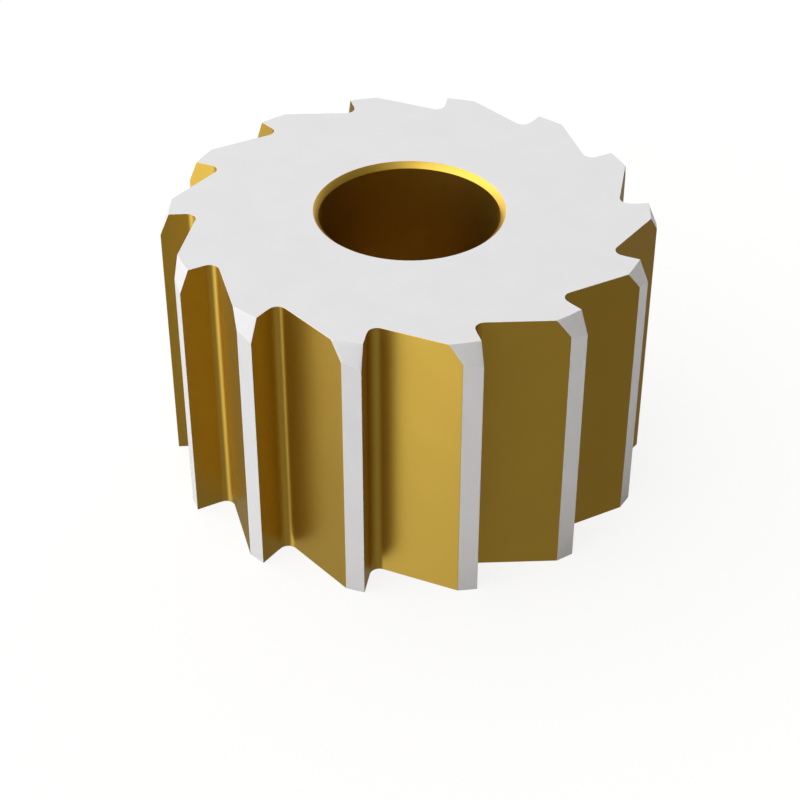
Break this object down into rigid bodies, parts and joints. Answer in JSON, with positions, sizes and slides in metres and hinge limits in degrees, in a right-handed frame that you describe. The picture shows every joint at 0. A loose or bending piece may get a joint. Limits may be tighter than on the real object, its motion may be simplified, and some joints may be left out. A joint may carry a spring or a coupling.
{
  "type": "shell reamer",
  "caption": "Straight-fluted shell reamer with a plain through bore, coated flutes and ground lands, chamfered at its leading end.",
  "frame": {"origin": "middle of the base, on the axis of the bore", "axes": "+Z along the axis towards the chamfered leading end; the cutting edges face anticlockwise seen from +Z"},
  "size_m": [0.044, 0.0434, 0.0257],
  "materials": {
    "tool_steel": "ground, with a gold-coloured hard coating in the flutes and bore"
  },
  "bodies": {
    "root": {"shell_reamer": "tool_steel"}
  },
  "joints": []
}
